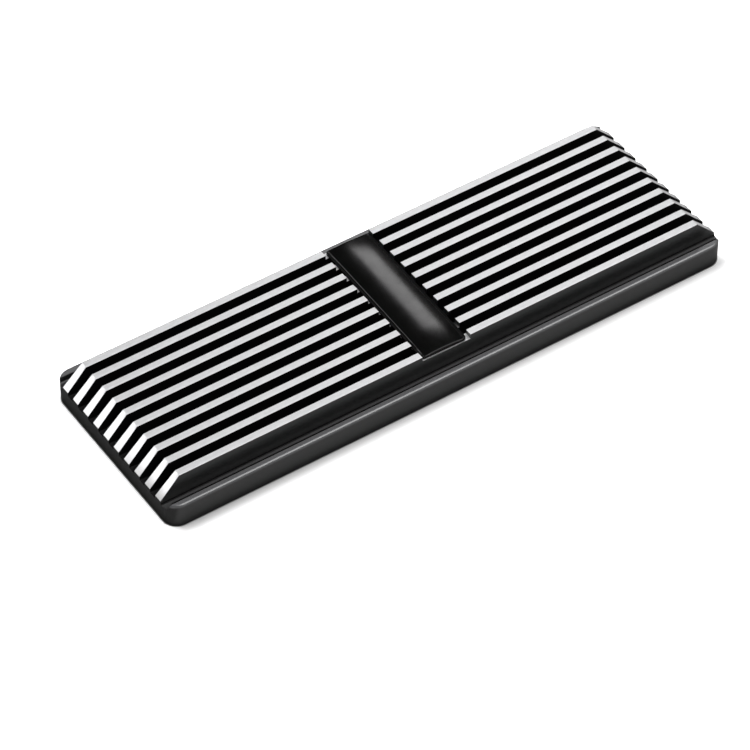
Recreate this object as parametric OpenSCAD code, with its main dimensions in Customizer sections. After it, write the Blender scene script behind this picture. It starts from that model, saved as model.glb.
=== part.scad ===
// Finned heat sink for a plug-in solid-state drive module.
// Millimetres, +Z up, +X along the fins. The origin is the middle of the contact
// face of the thermal pad, which is the lowest face.

/* [Body] */
// length of the body
sink_l = 70; // [50:1:110]
// width of the body
sink_w = 23; // [21:0.5:30]
// height of the body from its underside to the fin tops
sink_h = 5; // [4.2:0.1:9]
// height of the channel floors above the underside
floor_h = 2.15; // [1.6:0.05:2.6]
// radius of the four upright corners
corner_r = 1.7; // [0.6:0.05:1.7]
// rounding of the lower outer edge
under_r = 0.1; // [0.05:0.05:0.5]

/* [Side lips] */
// height of the lip on each long side above the underside
lip_h = 2.8; // [2.7:0.05:3.4]
// width of the lip
lip_w = 0.75; // [0.6:0.05:1]
// rounding of the outer top edge of the lip
lip_r = 0.35; // [0.1:0.05:0.4]
// radius at the foot of the inner side of the lip
lip_foot_r = 0.4; // [0.15:0.05:0.5]

/* [Fins] */
// number of fins
fin_count = 10; // [6:1:11]
// thickness of a fin at its top
fin_t = 0.82; // [0.6:0.02:1.1]
// slope of each fin side off the upright, in degrees
fin_draft = 2.5; // [0.5:0.5:3]
// radius at the foot of each fin side
root_r = 0.15; // [0.05:0.05:0.3]
// distance from the side of the body to the top of the outermost fin
side_land = 2; // [1.95:0.05:3]
// slope of the fin ends off the level, in degrees
mitre_angle = 45; // [30:1:70]
// height of the upright end of a fin below its slope
mitre_foot = 0.45; // [0.2:0.05:0.9]

/* [Badge] */
// length of fin that is cut away for the badge
pocket_w = 6.05; // [4:0.05:12]
// depth of that cut below the fin tops
pocket_depth = 0.6; // [0.5:0.05:1]
// gap between the badge and the cut fin ends
badge_gap = 0.275; // [0.15:0.025:0.6]
// distance from the ends of the badge to the outer sides of the fin block
badge_inset = 0.1; // [0.05:0.05:0.6]
// height of the badge at its rim
badge_rim = 0.2; // [0.15:0.05:0.5]
// rise of the badge from its rim to its crown
badge_rise = 0.3; // [0.2:0.05:0.6]
// radius of the corners of the badge, seen from above
badge_corner_r = 0.45; // [0.2:0.05:1]
// rounding where the rim turns into the dome
badge_edge_r = 0.15; // [0.05:0.05:0.2]
// thickness of the adhesive film under the badge
tape_t = 0.1; // [0.05:0.05:0.2]
// distance from the film to the outline of the badge
tape_inset = 0.2; // [0.1:0.05:0.6]

/* [Thermal pad] */
// width of the rim round the recess for the pad
recess_rim = 2; // [1.5:0.1:4]
// depth of the recess
recess_depth = 0.5; // [0.3:0.05:0.8]
// radius of the corners of the recess
recess_r = 1; // [0.5:0.1:2]
// how far the pad stands out below the body
pad_proud = 0.1; // [0.05:0.05:0.4]
// gap between the pad and the sides of its recess
pad_gap = 0.2; // [0.1:0.05:0.5]

/* [Hidden] */
$fn = 48;
crown_fn = 240;
over = 1;
fin_h = sink_h - floor_h;
fin_flare = fin_h * tan(fin_draft);
fin_block_w = sink_w - 2 * side_land;
fin_pitch = (fin_block_w - fin_t) / (fin_count - 1);
fin_root = 0.3;
mitre_drop = fin_h - mitre_foot;
mitre_run = mitre_drop / tan(mitre_angle);
plan_r = min(corner_r, side_land - fin_flare - root_r - 0.02);
badge_w = pocket_w - 2 * badge_gap;
badge_l = fin_block_w - 2 * badge_inset;
badge_h = badge_rim + badge_rise;
crown_reach = badge_w / 2 - badge_edge_r;
crown = badge_rise - badge_edge_r;
crown_r = (crown_reach * crown_reach + crown * crown) / (2 * crown);
badge_z = pad_proud + sink_h - pocket_depth + tape_t;
recess_l = sink_l - 2 * recess_rim;
recess_w = sink_w - 2 * recess_rim;

// rectangle with four round corners, centred on the origin
module rounded_plan(l, w, r) {
    square([l - 2 * r, w], center = true);
    square([l, w - 2 * r], center = true);
    for (sx = [-1, 1], sy = [-1, 1]) {
        translate([sx * (l / 2 - r), sy * (w / 2 - r)])
            circle(r);
    }
}

// upright section from the middle out to one side, with both outer edges rounded
module edge_section(reach, h, low_r, high_r) {
    difference() {
        square([reach, h]);
        translate([reach - low_r, 0])
            difference() {
                translate([0, -over])
                    square([low_r + over, low_r + over]);
                translate([0, low_r])
                    circle(low_r);
            }
        translate([reach - high_r, h - high_r])
            difference() {
                square([high_r + over, high_r + over]);
                circle(high_r);
            }
    }
}

// bar along X with the same rounded edges on both sides
module edge_bar(l, w, h, low_r, high_r) {
    rotate([90, 0, 90])
        linear_extrude(l, center = true) {
            edge_section(w / 2, h, low_r, high_r);
            mirror([1, 0])
                edge_section(w / 2, h, low_r, high_r);
        }
}

// slab with round upright corners and rounded lower and upper edges
module rounded_slab(l, w, h, r, low_r, high_r) {
    edge_bar(l - 2 * r, w, h, low_r, high_r);
    rotate([0, 0, 90])
        edge_bar(w - 2 * r, l, h, low_r, high_r);
    for (sx = [-1, 1], sy = [-1, 1]) {
        translate([sx * (l / 2 - r), sy * (w / 2 - r), 0])
            rotate_extrude()
                edge_section(r, h, low_r, high_r);
    }
}

// cut that lowers the slab between its lips to the channel floors
module trough() {
    half = sink_w / 2 - lip_w;
    rotate([90, 0, 90])
        linear_extrude(sink_l + 2 * over, center = true) {
            translate([-half, floor_h + lip_foot_r])
                square([2 * half, lip_h - floor_h - lip_foot_r + over]);
            translate([-half + lip_foot_r, floor_h])
                square([2 * (half - lip_foot_r), lip_foot_r + over]);
            for (side = [-1, 1]) {
                translate([side * (half - lip_foot_r), floor_h + lip_foot_r])
                    circle(lip_foot_r);
            }
        }
}

// concave foot where a sloped fin side meets the channel floor
module root_fillet() {
    reach = root_r * (1 - sin(fin_draft)) / cos(fin_draft);
    difference() {
        polygon([
            [-root_r * sin(fin_draft), -fin_root],
            [reach, -fin_root],
            [reach, root_r],
            [reach - root_r * cos(fin_draft), root_r - root_r * sin(fin_draft)],
            [0, 0]
        ]);
        translate([reach, root_r])
            circle(root_r);
    }
}

// tapered section of one fin, its feet reaching down into the base
module fin_section() {
    root_flare = (fin_h + fin_root) * tan(fin_draft);
    translate([0, floor_h])
        for (side = [0, 1]) {
            mirror([side, 0])
                translate([fin_t / 2 + fin_flare, 0])
                    root_fillet();
        }
    polygon([
        [-fin_t / 2 - root_flare, floor_h - fin_root],
        [fin_t / 2 + root_flare, floor_h - fin_root],
        [fin_t / 2, sink_h],
        [-fin_t / 2, sink_h]
    ]);
}

// all fins, run the whole length
module fin_rows() {
    rotate([90, 0, 90])
        linear_extrude(sink_l, center = true)
            for (i = [0:fin_count - 1]) {
                translate([(i - (fin_count - 1) / 2) * fin_pitch, 0])
                    fin_section();
            }
}

// side view of the fins: level top, sloped ends, short upright feet
module mitred_outline() {
    rotate([90, 0, 0])
        linear_extrude(sink_w, center = true)
            polygon([
                [-sink_l / 2, floor_h - fin_root],
                [sink_l / 2, floor_h - fin_root],
                [sink_l / 2, floor_h + mitre_foot],
                [sink_l / 2 - mitre_run, sink_h],
                [-sink_l / 2 + mitre_run, sink_h],
                [-sink_l / 2, floor_h + mitre_foot]
            ]);
}

// the fins, cut down in the middle to short stubs that carry the badge
module fins() {
    difference() {
        intersection() {
            fin_rows();
            mitred_outline();
        }
        translate([-pocket_w / 2, -sink_w / 2, sink_h - pocket_depth])
            cube([pocket_w, sink_w, pocket_depth + over]);
    }
}

// one piece of metal: base with lips, fins, badge seat and pad recess
module body() {
    color([0.09, 0.09, 0.1])
        translate([0, 0, pad_proud])
            difference() {
                union() {
                    difference() {
                        rounded_slab(sink_l, sink_w, lip_h, plan_r, under_r, lip_r);
                        trough();
                    }
                    fins();
                }
                translate([0, 0, -over])
                    linear_extrude(recess_depth + over)
                        rounded_plan(recess_l, recess_w, recess_r);
            }
}

// upright section of the dome: straight rim, rounded shoulder, shallow crown
module dome_section(w) {
    inner = w / 2 - badge_edge_r;
    shoulder = badge_rim + badge_edge_r;
    level = 2 * (inner - crown_reach);
    square([w, 2 * badge_rim], center = true);
    translate([-inner, 0])
        square([2 * inner, shoulder]);
    for (side = [-1, 1]) {
        translate([side * inner, badge_rim])
            circle(badge_edge_r);
        intersection() {
            translate([-inner, 0])
                square([2 * inner, badge_h]);
            translate([side * level / 2, badge_h - crown_r])
                circle(crown_r, $fn = crown_fn);
        }
    }
    if (level > 0)
        translate([-level / 2, 0])
            square([level, badge_h]);
}

// domed badge across the middle of the fins
module badge() {
    color([0.02, 0.02, 0.025])
        translate([0, 0, badge_z])
            intersection() {
                linear_extrude(badge_h)
                    rounded_plan(badge_w, badge_l, badge_corner_r);
                rotate([90, 0, 0])
                    linear_extrude(badge_l, center = true)
                        dome_section(badge_w);
                rotate([90, 0, 90])
                    linear_extrude(badge_w, center = true)
                        dome_section(badge_l);
            }
}

// adhesive film between the fin stubs and the badge
module badge_tape() {
    color([0.3, 0.3, 0.3])
        translate([0, 0, badge_z - tape_t])
            linear_extrude(tape_t)
                rounded_plan(badge_w - 2 * tape_inset, badge_l - 2 * tape_inset, badge_corner_r - tape_inset / 2);
}

// soft pad that fills the recess in the underside
module thermal_pad() {
    color([0.55, 0.62, 0.68])
        linear_extrude(recess_depth + pad_proud)
            rounded_plan(recess_l - 2 * pad_gap, recess_w - 2 * pad_gap, recess_r - pad_gap / 2);
}

body();
badge();
badge_tape();
thermal_pad();
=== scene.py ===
import math

import bmesh
import bpy
from mathutils import Matrix, Vector


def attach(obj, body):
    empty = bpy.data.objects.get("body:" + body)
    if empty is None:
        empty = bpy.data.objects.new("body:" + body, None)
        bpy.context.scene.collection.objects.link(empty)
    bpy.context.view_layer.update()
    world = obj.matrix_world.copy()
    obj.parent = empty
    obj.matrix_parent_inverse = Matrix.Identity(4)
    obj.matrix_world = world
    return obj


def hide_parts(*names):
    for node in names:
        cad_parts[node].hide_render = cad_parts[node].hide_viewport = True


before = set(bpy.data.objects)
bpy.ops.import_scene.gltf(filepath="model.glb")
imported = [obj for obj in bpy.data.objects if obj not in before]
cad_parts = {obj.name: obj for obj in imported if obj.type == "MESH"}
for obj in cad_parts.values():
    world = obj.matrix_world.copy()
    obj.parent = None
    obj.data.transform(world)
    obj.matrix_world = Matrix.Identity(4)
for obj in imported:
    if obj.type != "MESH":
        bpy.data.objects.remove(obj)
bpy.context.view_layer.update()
mm = 0.001
print("stage: frame loaded")


# helpers for modelling in edit mode

limits = {
    # least rise of a level face's normal, and greatest rise of an upright one's
    "level": 0.9, "upright": 0.2,
    # two places are the same, or close, within these millimetres, and two shares within the third
    "same": 0.002, "close": 0.01, "share": 1e-4,
    # metres within which a cut snaps to a vertex and vertices merge, and degrees that count as flat
    "snap": 1e-7, "merge": 1e-6, "flatAngle": 0.2,
}


def clearSelection():
    if bpy.context.object and bpy.context.object.mode != "OBJECT":
        bpy.ops.object.mode_set(mode="OBJECT")
    bpy.ops.object.select_all(action="DESELECT")


def addBlock(name, low, high):
    clearSelection()
    middle = [(a + b) / 2 * mm for a, b in zip(low, high)]
    bpy.ops.mesh.primitive_cube_add(size=1, location=middle)
    piece = bpy.context.object
    piece.name = name
    piece.scale = [(b - a) * mm for a, b in zip(low, high)]
    bpy.ops.object.transform_apply(location=True, rotation=True, scale=True)
    bpy.ops.object.mode_set(mode="EDIT")
    return piece


def pick(piece, kind, wanted):
    # selects the faces or edges for which wanted(...) is true, by their place or normal
    bpy.ops.mesh.select_mode(type=kind)
    bpy.ops.mesh.select_all(action="DESELECT")
    mesh = bmesh.from_edit_mesh(piece.data)
    mesh.normal_update()
    for item in (mesh.faces if kind == "FACE" else mesh.edges):
        if wanted(item):
            item.select_set(True)
    bmesh.update_edit_mesh(piece.data)


def facesUp(face):
    return face.normal.z > limits["level"]


def facesDown(face):
    return face.normal.z < -limits["level"]


def isUpright(face):
    return abs(face.normal.z) < limits["upright"]


def centre(face):
    return face.calc_center_median() / mm


def ends(edge):
    return [v.co / mm for v in edge.verts]


def near(a, b, slack=limits["same"]):
    return abs(a - b) < slack


def nudge(piece, wanted, shift):
    # moves the wanted vertices by a shift in millimetres that may depend on their place
    mesh = bmesh.from_edit_mesh(piece.data)
    for vertex in mesh.verts:
        if wanted(vertex.co / mm):
            vertex.co += Vector(shift(vertex.co / mm)) * mm
    bmesh.update_edit_mesh(piece.data)


def extrudeUp(height):
    bpy.ops.mesh.extrude_region_move(TRANSFORM_OT_translate={"value": (0, 0, height * mm)})


def cutAcross(piece, wanted, place, axis):
    # splits the wanted faces along the plane through place across axis (0 is x, 1 is y)
    pick(piece, "FACE", wanted)
    planePoint, planeNormal = [0, 0, 0], [0, 0, 0]
    planePoint[axis], planeNormal[axis] = place * mm, 1
    bpy.ops.mesh.bisect(plane_co=planePoint, plane_no=planeNormal, threshold=limits["snap"])


def roundEdges(piece, wanted, radius, steps):
    pick(piece, "EDGE", wanted)
    bpy.ops.mesh.bevel(
        offset=radius * mm, offset_type="OFFSET", segments=steps, profile=0.5,
        affect="EDGES", clamp_overlap=False, material=-1,
    )


def weighNormals(piece):
    # keeps large flat faces flat in the shading and leaves the bend to the small ones beside them
    clearSelection()
    piece.select_set(True)
    bpy.context.view_layer.objects.active = piece
    bpy.ops.object.modifier_add(type="WEIGHTED_NORMAL")
    piece.modifiers[-1].keep_sharp = True
    bpy.ops.object.modifier_apply(modifier=piece.modifiers[-1].name)


# the finned body, in millimetres and degrees

body = {
    # heights are above the contact face of the pad
    "length": 70, "width": 23, "under": 0.1, "floor": 2.25, "lipTop": 2.9, "lipWidth": 0.75, "land": 2,
    "fins": 10, "finTop": 5.1, "finThick": 0.82, "draft": 2.5, "endFoot": 0.45,
    "seatWidth": 6.05, "seatDepth": 0.6, "recessRim": 2, "recessDepth": 0.5, "smoothAngle": 28,
    # roundings: radius and number of steps; the far lip shows a harder edge in the photograph
    "corner": (1.7, 10), "recessCorner": (1, 6), "finRoot": (0.15, 3), "lipFoot": (0.4, 4),
    "nearLip": (0.35, 4), "farLip": (0.15, 3), "underEdge": (0.1, 4), "cutEdge": (0.05, 2),
    # which edges are cut edges: height above the channel floors, reach of the outer fins beyond the
    # fin block, least normal of a machined face, and least angle between the two faces in radians
    "cutHeight": 0.3, "cutReach": 0.2, "cutNormal": 0.6, "cutAngle": 0.5,
}


def modelBase():
    halfL, halfW = body["length"] / 2, body["width"] / 2
    piece = addBlock("finned_body", (-halfL, -halfW, body["under"]), (halfL, halfW, body["floor"]))
    pick(piece, "FACE", facesDown)
    bpy.ops.mesh.inset(thickness=body["recessRim"] * mm)
    halfUnderside = body["length"] * body["width"] / 2 * mm * mm
    pick(piece, "FACE", lambda f: facesDown(f) and f.calc_area() > halfUnderside)
    extrudeUp(body["recessDepth"])

    def isCorner(edge, reach):
        a, b = ends(edge)
        return near(a.x, b.x) and near(a.y, b.y) and near(abs(a.x), reach)

    roundEdges(piece, lambda e: isCorner(e, halfL), *body["corner"])
    roundEdges(piece, lambda e: isCorner(e, halfL - body["recessRim"]), *body["recessCorner"])
    return piece


def raiseLips(piece):
    inner = body["width"] / 2 - body["lipWidth"]
    for side in (-1, 1):
        cutAcross(piece, facesUp, side * inner, 1)
    pick(piece, "FACE", lambda f: facesUp(f) and abs(centre(f).y) > inner)
    extrudeUp(body["lipTop"] - body["floor"])


def raiseFins(piece):
    halfL, halfT = body["length"] / 2, body["finThick"] / 2
    slope = math.tan(math.radians(body["draft"]))
    foot = halfT + (body["finTop"] - body["floor"]) * slope
    block = body["width"] - 2 * body["land"]
    pitch = (block - body["finThick"]) / (body["fins"] - 1)
    rows = [(i - (body["fins"] - 1) / 2) * pitch for i in range(body["fins"])]
    inner = body["width"] / 2 - body["lipWidth"]

    def nearestRow(y):
        return min(rows, key=lambda row: abs(row - y))

    def isLevel(face, height):
        return facesUp(face) and near(centre(face).z, height)

    def isFloor(face):
        return isLevel(face, body["floor"]) and abs(centre(face).y) < inner

    def isFinPlace(face):
        y = centre(face).y
        return isFloor(face) and near(y, nearestRow(y), limits["close"])

    for row in rows:
        for side in (-1, 1):
            cutAcross(piece, isFloor, row + side * foot, 1)
    pick(piece, "FACE", isFinPlace)

    def grow(start, end, outerEnd, slide):
        # one storey of the fins: up, in at the drafted sides, and back at the sloped ends
        extrudeUp(end - start)
        nudge(
            piece,
            lambda v: near(v.z, end) and abs(v.y) < inner,
            lambda v: (
                -math.copysign(slide, v.x) if near(abs(v.x), outerEnd) else 0,
                -math.copysign((end - start) * slope, v.y - nearestRow(v.y)),
                0,
            ),
        )

    slopeStart = body["floor"] + body["endFoot"]
    stubTop = body["finTop"] - body["seatDepth"]
    slopeRun = stubTop - slopeStart
    grow(body["floor"], slopeStart, halfL, 0)
    grow(slopeStart, stubTop, halfL, slopeRun)
    seat = body["seatWidth"] / 2
    for side in (-1, 1):
        cutAcross(piece, lambda f: isLevel(f, stubTop), side * seat, 0)
    pick(piece, "FACE", lambda f: isLevel(f, stubTop) and abs(centre(f).x) > seat)
    grow(stubTop, body["finTop"], halfL - slopeRun, body["seatDepth"])
    return rows, foot


def finishBody(piece, rows, foot):
    halfW = body["width"] / 2
    lipInner = halfW - body["lipWidth"]
    floorZ, lipTop, under = body["floor"], body["lipTop"], body["under"]
    pick(piece, "FACE", isUpright)
    bpy.ops.mesh.dissolve_limited(angle_limit=math.radians(limits["flatAngle"]), delimit=set())

    def runsAlong(edge, z):
        a, b = ends(edge)
        return near(a.z, z) and near(b.z, z) and near(a.y, b.y) and not near(a.x, b.x)

    def isFinRoot(edge):
        y = ends(edge)[0].y
        return runsAlong(edge, floorZ) and any(near(abs(y - row), foot, limits["close"]) for row in rows)

    def isLipFoot(edge):
        return runsAlong(edge, floorZ) and near(abs(ends(edge)[0].y), lipInner)

    def isLipEdge(edge, side):
        # the outer top edge of the lip on one side, -1 near and 1 far, with its corners
        a, b = ends(edge)
        level = near(a.z, lipTop) and near(b.z, lipTop)
        inside = near(abs(a.y), lipInner) and near(abs(b.y), lipInner)
        return level and not inside and min(side * a.y, side * b.y) > lipInner - limits["close"]

    def isUnderEdge(edge):
        a, b = ends(edge)
        if not (near(a.z, under) and near(b.z, under)):
            return False
        return any(isUpright(f) and centre(f).z > under + body["recessDepth"] for f in edge.link_faces)

    roundEdges(piece, isFinRoot, *body["finRoot"])
    roundEdges(piece, isLipFoot, *body["lipFoot"])
    roundEdges(piece, lambda e: isLipEdge(e, -1), *body["nearLip"])
    roundEdges(piece, lambda e: isLipEdge(e, 1), *body["farLip"])
    roundEdges(piece, isUnderEdge, *body["underEdge"])

    def isCutEdge(edge):
        # edges round the machined faces: fin tops, sloped ends and stub tops
        lowest = min(v.z for v in ends(edge))
        outmost = max(abs(v.y) for v in ends(edge))
        if len(edge.link_faces) != 2 or lowest < floorZ + body["cutHeight"]:
            return False
        if outmost > halfW - body["land"] + body["cutReach"]:
            return False
        bare = [f.normal.z > body["cutNormal"] for f in edge.link_faces]
        return bare[0] != bare[1] and edge.calc_face_angle(0) > body["cutAngle"]

    roundEdges(piece, isCutEdge, *body["cutEdge"])
    bpy.ops.mesh.select_all(action="SELECT")
    bpy.ops.mesh.remove_doubles(threshold=limits["merge"])
    bpy.ops.mesh.normals_make_consistent(inside=False)
    bpy.ops.object.mode_set(mode="OBJECT")
    bpy.ops.object.shade_smooth_by_angle(angle=math.radians(body["smoothAngle"]))
    weighNormals(piece)


finnedBody = modelBase()
raiseLips(finnedBody)
finRows, finFoot = raiseFins(finnedBody)
finishBody(finnedBody, finRows, finFoot)
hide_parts("body")
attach(finnedBody, "root")
print("stage: finned body modelled,", len(finnedBody.data.polygons), "faces")


# the domed badge, in millimetres and degrees

badge = {
    # the thin plate
    "low": 4.6, "plate": 0.16, "halfX": 2.8, "halfY": 9.43, "cornerRound": 0.45,
    # the dome on it: half its width and length, height of its steep shoulder and of the crown over
    # that, and how far in the shoulder reaches from the long sides and from the ends
    "domeX": 2.52, "domeY": 9.39, "shoulder": 0.15, "crown": 0.18, "lean": 0.16, "endLean": 0.1,
    # length over which the crown drops toward each end, and the depth of that drop
    "endRun": 3.6, "endDrop": 0.149,
    # a face this far outside the dome belongs to the matt margin
    "marginSlack": 0.001, "askew": 1.1, "smoothAngle": 50,
    # where the lines of the grid lie: number of the line from the middle, distance from the middle
    "columns": ((0, 0), (14, 2.28), (25, 2.52), (28, 2.8)),
    "rows": ((0, 0), (44, 8), (58, 9.26), (68, 9.39), (70, 9.43)),
}


def spread(x, half, lines):
    # moves the even lines of the grid to the places in a list of lines
    number = abs(x) / half * lines[-1][0]
    for (first, start), (last, end) in zip(lines, lines[1:]):
        if number <= last + limits["share"]:
            return math.copysign(start + (end - start) * (number - first) / (last - first), x)
    return x


def swell(x, y):
    # height of the dome over the plate; its crown is round across the badge and level along it
    fromSide = (badge["domeX"] - abs(x)) / badge["lean"]
    fromEnd = (badge["domeY"] - abs(y)) / badge["endLean"]
    inward = min(fromSide, fromEnd, 1)
    if inward <= limits["share"]:
        return 0
    shoulder = math.sqrt(1 - (1 - inward) ** 2)
    across = 1 - (x / badge["domeX"]) ** 2
    lengthwise = max(0, 1 - (badge["domeY"] - abs(y)) / badge["endRun"]) ** 2
    return badge["shoulder"] * shoulder + badge["crown"] * across - badge["endDrop"] * lengthwise


def roundedPlace(x, y):
    # bends the square corners of the grid into quarter rounds
    r = badge["cornerRound"]
    innerX, innerY = badge["halfX"] - r, badge["halfY"] - r
    u, v = abs(x) - innerX, abs(y) - innerY
    if u <= 0 or v <= 0:
        return x, y
    shrink = max(u, v) / math.hypot(u, v)
    return math.copysign(innerX + u * shrink, x), math.copysign(innerY + v * shrink, y)


def modelBadge():
    top = badge["low"] + badge["plate"]
    clearSelection()
    bpy.ops.mesh.primitive_grid_add(
        x_subdivisions=2 * badge["columns"][-1][0], y_subdivisions=2 * badge["rows"][-1][0],
        size=2, location=(0, 0, top * mm),
    )
    piece = bpy.context.object
    piece.name = "domed_badge"
    piece.scale = (badge["halfX"] * mm, badge["halfY"] * mm, 1)
    bpy.ops.object.transform_apply(location=True, rotation=True, scale=True)
    bpy.ops.object.mode_set(mode="EDIT")
    bpy.ops.mesh.select_all(action="SELECT")
    bpy.ops.mesh.region_to_loop()
    bpy.ops.mesh.extrude_region_move(TRANSFORM_OT_translate={"value": (0, 0, -badge["plate"] * mm)})
    bpy.ops.mesh.edge_face_add()
    bpy.ops.mesh.select_all(action="SELECT")
    bpy.ops.mesh.normals_make_consistent(inside=False)

    def place(v):
        gridX = spread(v.x, badge["halfX"], badge["columns"])
        gridY = spread(v.y, badge["halfY"], badge["rows"])
        x, y = roundedPlace(gridX, gridY)
        lift = swell(gridX, gridY) if near(v.z, top) else 0
        return x - v.x, y - v.y, lift

    nudge(piece, lambda v: True, place)
    bpy.ops.mesh.select_all(action="SELECT")
    # stuck on by hand, a little askew
    bpy.ops.transform.rotate(value=math.radians(badge["askew"]), orient_axis="Z", center_override=(0, 0, 0))
    bpy.ops.object.mode_set(mode="OBJECT")
    bpy.ops.object.shade_smooth_by_angle(angle=math.radians(badge["smoothAngle"]))
    return piece


domedBadge = modelBadge()
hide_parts("badge")
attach(domedBadge, "root")
print("stage: badge modelled,", len(domedBadge.data.polygons), "faces")


# helpers for node trees

def feed(tree, value, socket):
    # gives a socket a number, a colour or the output of another node
    if isinstance(value, tuple):
        socket.default_value = (*value, 1)
    elif isinstance(value, (int, float)):
        socket.default_value = value
    else:
        tree.links.new(value, socket)


def split(tree, vector):
    # the x, y and z of a vector
    parts = tree.nodes.new("ShaderNodeSeparateXYZ")
    tree.links.new(vector, parts.inputs["Vector"])
    return tuple(parts.outputs)


def ramp(tree, value, start, end, low=0, high=1, unit=mm):
    # smooth change from low to high while the value goes from start to end
    fade = tree.nodes.new("ShaderNodeMapRange")
    fade.interpolation_type = "SMOOTHSTEP"
    feed(tree, value, fade.inputs["Value"])
    feed(tree, start * unit, fade.inputs["From Min"])
    feed(tree, end * unit, fade.inputs["From Max"])
    feed(tree, low, fade.inputs["To Min"])
    feed(tree, high, fade.inputs["To Max"])
    return fade.outputs["Result"]


def maths(tree, operation, first, second=0):
    node = tree.nodes.new("ShaderNodeMath")
    node.operation = operation
    feed(tree, first, node.inputs[0])
    feed(tree, second, node.inputs[1])
    return node.outputs[0]


def product(tree, first, *others):
    for other in others:
        first = maths(tree, "MULTIPLY", first, other)
    return first


def lessShare(tree, value, share):
    # the value without a share of it
    return maths(tree, "MULTIPLY", value, maths(tree, "SUBTRACT", 1, share))


def mixNumbers(tree, share, first, second):
    mix = tree.nodes.new("ShaderNodeMix")
    feed(tree, share, mix.inputs[0])
    feed(tree, first, mix.inputs[2])
    feed(tree, second, mix.inputs[3])
    return mix.outputs[0]


def mixColours(tree, share, first, second):
    mix = tree.nodes.new("ShaderNodeMix")
    mix.data_type = "RGBA"
    feed(tree, share, mix.inputs[0])
    feed(tree, first, mix.inputs[6])
    feed(tree, second, mix.inputs[7])
    return mix.outputs[2]


# materials

def newMaterial(name):
    material = bpy.data.materials.new(name)
    material.use_nodes = True
    coords = material.node_tree.nodes.new("ShaderNodeTexCoord")
    return material, material.node_tree, coords.outputs["Object"]


# the noise under every finish, and the part of its range that becomes the tone
grainNoise = {"detail": 4, "roughness": 0.65, "low": 0.3, "high": 0.7}


def makeGrainGroup():
    # grain over a surface: a tone mask, a roughness value and a height, from object coordinates
    group = bpy.data.node_groups.new("fine_grain", "ShaderNodeTree")
    face = group.interface
    face.new_socket("Place", in_out="INPUT", socket_type="NodeSocketVector")
    for name, value in (("Scale", 4000), ("Stretch", 1), ("Rough low", 0.35), ("Rough high", 0.5)):
        face.new_socket(name, in_out="INPUT", socket_type="NodeSocketFloat").default_value = value
    for name in ("Tone", "Roughness", "Height"):
        face.new_socket(name, in_out="OUTPUT", socket_type="NodeSocketFloat")
    nodes, links = group.nodes, group.links
    source, sink = nodes.new("NodeGroupInput"), nodes.new("NodeGroupOutput")
    # a stretch below one draws the grain out along x
    squeeze = nodes.new("ShaderNodeCombineXYZ")
    squeeze.inputs["Y"].default_value = 1
    squeeze.inputs["Z"].default_value = 1
    links.new(source.outputs["Stretch"], squeeze.inputs["X"])
    scaled = nodes.new("ShaderNodeVectorMath")
    scaled.operation = "MULTIPLY"
    links.new(source.outputs["Place"], scaled.inputs[0])
    links.new(squeeze.outputs["Vector"], scaled.inputs[1])
    fine = nodes.new("ShaderNodeTexNoise")
    fine.inputs["Detail"].default_value = grainNoise["detail"]
    fine.inputs["Roughness"].default_value = grainNoise["roughness"]
    links.new(scaled.outputs["Vector"], fine.inputs["Vector"])
    links.new(source.outputs["Scale"], fine.inputs["Scale"])
    tone = nodes.new("ShaderNodeMapRange")
    tone.inputs["From Min"].default_value = grainNoise["low"]
    tone.inputs["From Max"].default_value = grainNoise["high"]
    links.new(fine.outputs["Fac"], tone.inputs["Value"])
    rough = nodes.new("ShaderNodeMapRange")
    links.new(tone.outputs["Result"], rough.inputs["Value"])
    links.new(source.outputs["Rough low"], rough.inputs["To Min"])
    links.new(source.outputs["Rough high"], rough.inputs["To Max"])
    links.new(tone.outputs["Result"], sink.inputs["Tone"])
    links.new(rough.outputs["Result"], sink.inputs["Roughness"])
    links.new(fine.outputs["Fac"], sink.inputs["Height"])
    return group


fineGrain = makeGrainGroup()


def grainMaterial(name, scale, rough, dark, light, bump, stretch=1, metallic=0, ior=1.5, shade=None):
    # rough is the lowest and highest roughness, dark and light are the ends of the tone, bump is a
    # strength and a distance in millimetres, and shade gives patches of tone that follow the place,
    # mostly painted light and painted shade
    material, tree, place = newMaterial(name)
    shader = tree.nodes["Principled BSDF"]
    texture = tree.nodes.new("ShaderNodeGroup")
    texture.node_tree = fineGrain
    feed(tree, place, texture.inputs["Place"])
    feed(tree, scale, texture.inputs["Scale"])
    feed(tree, stretch, texture.inputs["Stretch"])
    feed(tree, rough[0], texture.inputs["Rough low"])
    feed(tree, rough[1], texture.inputs["Rough high"])
    colour = mixColours(tree, texture.outputs["Tone"], dark, light)
    if shade:
        for share, tint in shade(tree, *split(tree, place)):
            colour = mixColours(tree, share, colour, tint)
    relief = tree.nodes.new("ShaderNodeBump")
    feed(tree, bump[0], relief.inputs["Strength"])
    feed(tree, bump[1] * mm, relief.inputs["Distance"])
    feed(tree, texture.outputs["Height"], relief.inputs["Height"])
    feed(tree, colour, shader.inputs["Base Color"])
    feed(tree, texture.outputs["Roughness"], shader.inputs["Roughness"])
    feed(tree, relief.outputs["Normal"], shader.inputs["Normal"])
    feed(tree, metallic, shader.inputs["Metallic"])
    feed(tree, ior, shader.inputs["IOR"])
    return material


# patches of tone, most of them painted light and painted shade; each ramp gives start and end in
# millimetres, and its two values if not 0 and 1
# painted highlight on the lips: its reach across y and up z, and its lighter grey
lipPaintedSheen = {"outward": (10.7, 10.8), "upward": (2.55, 2.85), "tint": (0.075, 0.075, 0.078)}
slopeShade = {
    "left": (-33.8, -34.9), "nearer": (3, -9.5, 0, 0.75),
    "right": (32.4, 32.8, 0, 0.22), "rightFoot": (33.9, 34.8, 0, 0.72), "tint": (0.3, 0.3, 0.3),
}
# painted shade on the stub tops beside the badge's right edge
paintedStubShade = {
    "from": (2.5, 2.6), "to": (3.1, 3), "below": (4.6, 4.55), "along": (-9, -6.5),
    "tint": (0.004, 0.004, 0.004),
}


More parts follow.
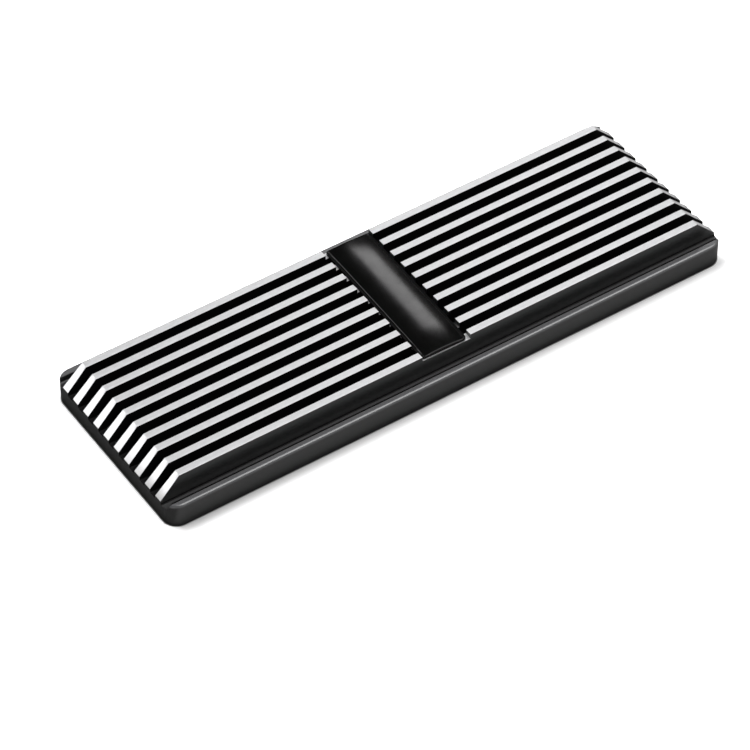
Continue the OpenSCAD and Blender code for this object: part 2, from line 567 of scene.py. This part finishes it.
def paintLipSheen(tree, x, y, z):
    # painted highlight: the tops of the lips are painted a lighter grey, standing in for the light they catch
    outward = ramp(tree, maths(tree, "ABSOLUTE", y), *lipPaintedSheen["outward"])
    return [(product(tree, outward, ramp(tree, z, *lipPaintedSheen["upward"])), lipPaintedSheen["tint"])]


def metalShade(tree, x, y, z):
    # the sloped ends of the fins get darker toward their feet, more so on the near fins at the left; the
    # whole sloped right end also carries a faint painted shade
    left = product(tree, ramp(tree, x, *slopeShade["left"]), ramp(tree, y, *slopeShade["nearer"]))
    right = maths(
        tree, "MAXIMUM", ramp(tree, x, *slopeShade["right"]), ramp(tree, x, *slopeShade["rightFoot"]),
    )
    # painted shade: the stub tops along most of the badge's right edge are painted near black
    beside = product(
        tree, ramp(tree, x, *paintedStubShade["from"]), ramp(tree, x, *paintedStubShade["to"]),
        ramp(tree, z, *paintedStubShade["below"]), ramp(tree, y, *paintedStubShade["along"]),
    )
    return [(maths(tree, "MAXIMUM", left, right), slopeShade["tint"]), (beside, paintedStubShade["tint"])]


anodisedBlack = grainMaterial(
    "anodised_black", scale=9000, rough=(0.28, 0.36), dark=(0.005, 0.005, 0.0053),
    light=(0.01, 0.01, 0.0105), bump=(0.12, 0.01), ior=2.0, shade=paintLipSheen,
)
# painted shade: a darker, duller copy of the anodised black for the channels, the fin roots and the far lip's
# rounding
anodisedPaintedShade = grainMaterial(
    "anodised_black_painted_shade", scale=9000, rough=(0.35, 0.5), dark=(0.002, 0.002, 0.0021),
    light=(0.004, 0.004, 0.0042), bump=(0.12, 0.01), ior=1.3,
)
bareMetal = grainMaterial(
    "bare_brushed_metal", scale=5000, rough=(0.34, 0.43), dark=(0.8, 0.8, 0.81),
    light=(0.92, 0.92, 0.93), bump=(0.2, 0.01), stretch=0.3, metallic=0.68, shade=metalShade,
)
glossBlack = grainMaterial(
    "badge_gloss", scale=700, rough=(0.13, 0.17), dark=(0.0008, 0.0008, 0.0008),
    light=(0.0015, 0.0015, 0.0015), bump=(0.02, 0.01),
)
badgeMargin = grainMaterial(
    "badge_margin", scale=2500, rough=(0.45, 0.6), dark=(0.003, 0.003, 0.003),
    light=(0.006, 0.006, 0.006), bump=(0.05, 0.01), ior=1.12,
)
tapeFilm = grainMaterial(
    "adhesive_film", scale=3000, rough=(0.5, 0.65), dark=(0.05, 0.05, 0.05),
    light=(0.08, 0.08, 0.08), bump=(0.1, 0.01),
)
padSilicone = grainMaterial(
    "soft_silicone", scale=1800, rough=(0.62, 0.8), dark=(0.33, 0.38, 0.43),
    light=(0.4, 0.45, 0.5), bump=(0.3, 0.03),
)

# how the faces of the body are told apart, by their normals and their place in millimetres
finish = {
    # machined faces: least normal, height above the channel floors, reach beyond the fin block
    "bareNormal": 0.45, "bareHeight": 0.35, "bareReach": 0.05,
    # channels: largest normal along the fins, height of the rounded fin roots and their reach
    # beyond the outer fins
    "channelNormal": 0.5, "rootHeight": 0.16, "rootReach": 0.7,
}


def dress(piece, *materials):
    piece.data.materials.clear()
    for material in materials:
        piece.data.materials.append(material)


def dressBody():
    dress(finnedBody, anodisedBlack, bareMetal, anodisedPaintedShade)
    black, bare, channel = range(3)
    halfW = body["width"] / 2
    blockHalf = halfW - body["land"] + finish["bareReach"]
    farRound = body["farLip"][0]

    def finishOf(face):
        middle = face.center / mm
        rise = middle.z - body["floor"]
        if face.normal.z > finish["bareNormal"] and rise > finish["bareHeight"] and abs(middle.y) < blockHalf:
            return bare
        # painted shade: faces in the channels and at the fin roots get the darker, duller black
        reach = finRows[-1] if rise > finish["rootHeight"] else finRows[-1] + finish["rootReach"]
        alongFins = abs(face.normal.x) < finish["channelNormal"]
        if alongFins and rise > -limits["close"] and abs(middle.y) < reach:
            return channel
        # painted shade: the rounding of the far lip gets the darker, duller black as well
        if middle.y > halfW - farRound and middle.z > body["lipTop"] - farRound:
            return channel
        return black

    for face in finnedBody.data.polygons:
        face.material_index = finishOf(face)


def dressBadge():
    dress(domedBadge, glossBlack, badgeMargin)
    gloss, margin = range(2)
    turn = Matrix.Rotation(math.radians(badge["askew"]), 3, "Z")
    for face in domedBadge.data.polygons:
        middle = turn @ face.center / mm
        beyond = max(abs(middle.x) - badge["domeX"], abs(middle.y) - badge["domeY"])
        face.material_index = margin if beyond > badge["marginSlack"] else gloss


dressBody()
dressBadge()
dress(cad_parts["badge_tape"], tapeFilm)
dress(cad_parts["thermal_pad"], padSilicone)
print("stage: materials set")


# camera; distances in millimetres, the clip limits in metres

camera = {
    "azimuth": -33.933, "elevation": 45.948, "distance": 389.31, "aim": (-8.517, -8.865, 5.1),
    "lens": 181.707, "sensor": 36, "clip": (0.01, 10),
}


def directionOf(azimuth, elevation):
    a, e = math.radians(azimuth), math.radians(elevation)
    return Vector((math.sin(a) * math.cos(e), -math.cos(a) * math.cos(e), math.sin(e)))


def placeCamera():
    back = directionOf(camera["azimuth"], camera["elevation"])
    clearSelection()
    bpy.ops.object.camera_add(location=(Vector(camera["aim"]) + back * camera["distance"]) * mm)
    view = bpy.context.object
    view.rotation_euler = (-back).to_track_quat("-Z", "Y").to_euler()
    view.data.lens = camera["lens"]
    view.data.sensor_width = camera["sensor"]
    view.data.clip_start, view.data.clip_end = camera["clip"]
    bpy.context.scene.camera = view


placeCamera()


# floor, world and lamps; each ramp gives start and end, and its two values if not 0 and 1

floor = {
    "half": 1500, "colour": 0.95,
    # as the camera sees it: over-exposed, with a painted contact shadow close to the outline of the body
    "seen": (-0.05, 0.15, 0.15, 1.42),
    # a soft shadow under the near long side, weaker toward the right end
    "shadowNear": (-10.7, -11.6), "shadowLeft": (-35.6, -33.4), "shadowOut": (0.4, 2, 1, 0),
    "shadowDepth": (-31, 28, 0.38, 0.22),
    # painted shade in reflections: dimmer left of the body, close to its outline and behind it
    "mirrorLeft": (-35.4, -34.6, 0.11, 0.26), "mirrorOut": (-0.1, 1.1, 0.1, 1),
    "mirrorBehind": (11.3, 12), "mirrorRight": (37, 36), "mirrorLeast": 0.03,
}
# brightness of the sky from its lowest to its highest part, by the height of the direction
studio = {"rise": (0.05, 0.5, 0.9, 0.04), "white": (1, 1, 1)}
lamps = {
    # azimuth and elevation, distance, width, height, radiance
    "key": (143.7, 41.5, 2000, 318, 282, 4.2),
    "overhead": (65, 64.7, 2000, 1300, 1600, 3.7),
    "leftBack": (-128.8, 22.8, 2000, 1300, 900, 1.9),
    "floorFill": (-150, 65, 2000, 1200, 1200, 6.3),
}


def outlineDistance(tree, x, y):
    # distance from the rounded outline of the body, negative inside it
    radius = body["corner"][0]
    squares = []
    for value, half in ((x, body["length"] / 2), (y, body["width"] / 2)):
        beyond = maths(tree, "SUBTRACT", maths(tree, "ABSOLUTE", value), (half - radius) * mm)
        beyond = maths(tree, "MAXIMUM", beyond, 0)
        squares.append(product(tree, beyond, beyond))
    distance = maths(tree, "SQRT", maths(tree, "ADD", *squares))
    return maths(tree, "SUBTRACT", distance, radius * mm)


def makeFloor():
    clearSelection()
    bpy.ops.mesh.primitive_plane_add(size=2 * floor["half"] * mm, location=(0, 0, 0))
    sheet = bpy.context.object
    sheet.name = "floor"
    material, tree, place = newMaterial("pale_floor")
    x, y = split(tree, place)[:2]
    distance = outlineDistance(tree, x, y)
    # painted shadow on the floor: dark close to the body's outline and soft under the near long side
    shadow = product(
        tree, ramp(tree, y, *floor["shadowNear"]), ramp(tree, x, *floor["shadowLeft"]),
        ramp(tree, distance, *floor["shadowOut"]), ramp(tree, x, *floor["shadowDepth"]),
    )
    seen = lessShare(tree, ramp(tree, distance, *floor["seen"]), shadow)
    # painted shade in the floor's reflections
    behind = product(tree, ramp(tree, y, *floor["mirrorBehind"]), ramp(tree, x, *floor["mirrorRight"]))
    mirrored = product(tree, ramp(tree, x, *floor["mirrorLeft"]), ramp(tree, distance, *floor["mirrorOut"]))
    mirrored = maths(tree, "MAXIMUM", lessShare(tree, mirrored, behind), floor["mirrorLeast"])
    # plain for the light that it throws back
    rays = tree.nodes.new("ShaderNodeLightPath").outputs
    tone = mixNumbers(tree, rays["Is Glossy Ray"], floor["colour"], mirrored)
    tone = mixNumbers(tree, rays["Is Camera Ray"], tone, seen)
    matt = tree.nodes.new("ShaderNodeBsdfDiffuse")
    feed(tree, tone, matt.inputs["Color"])
    feed(tree, matt.outputs["BSDF"], tree.nodes["Material Output"].inputs["Surface"])
    sheet.data.materials.append(material)


def setWorld():
    # a sky that is bright low down, and plain white where the camera sees it
    world = bpy.data.worlds.new("studio")
    bpy.context.scene.world = world
    world.use_nodes = True
    tree = world.node_tree
    towards = tree.nodes.new("ShaderNodeTexCoord").outputs["Generated"]
    fade = ramp(tree, split(tree, towards)[2], *studio["rise"], unit=1)
    rays = tree.nodes.new("ShaderNodeLightPath").outputs
    sky = mixColours(tree, rays["Is Camera Ray"], fade, studio["white"])
    feed(tree, sky, tree.nodes["Background"].inputs["Color"])


def addLamp(name, azimuth, elevation, distance, width, height, radiance):
    back = directionOf(azimuth, elevation)
    clearSelection()
    bpy.ops.object.light_add(type="AREA", location=back * distance * mm)
    lamp = bpy.context.object
    lamp.name = name
    across = (Vector((1, 0, 0)) - back * back.x).normalized()
    lamp.rotation_euler = Matrix((across, back.cross(across), back)).transposed().to_euler()
    lamp.data.shape = "RECTANGLE"
    lamp.data.size, lamp.data.size_y = width * mm, height * mm
    lamp.data.energy = radiance * math.pi * width * height * mm * mm
    lamp.visible_camera = False
    lamp.visible_glossy = name != "floorFill"


makeFloor()
setWorld()
for name, values in lamps.items():
    addLamp(name, *values)
bpy.context.scene.view_settings.view_transform = "Standard"
print("stage: camera, floor and lamps set")
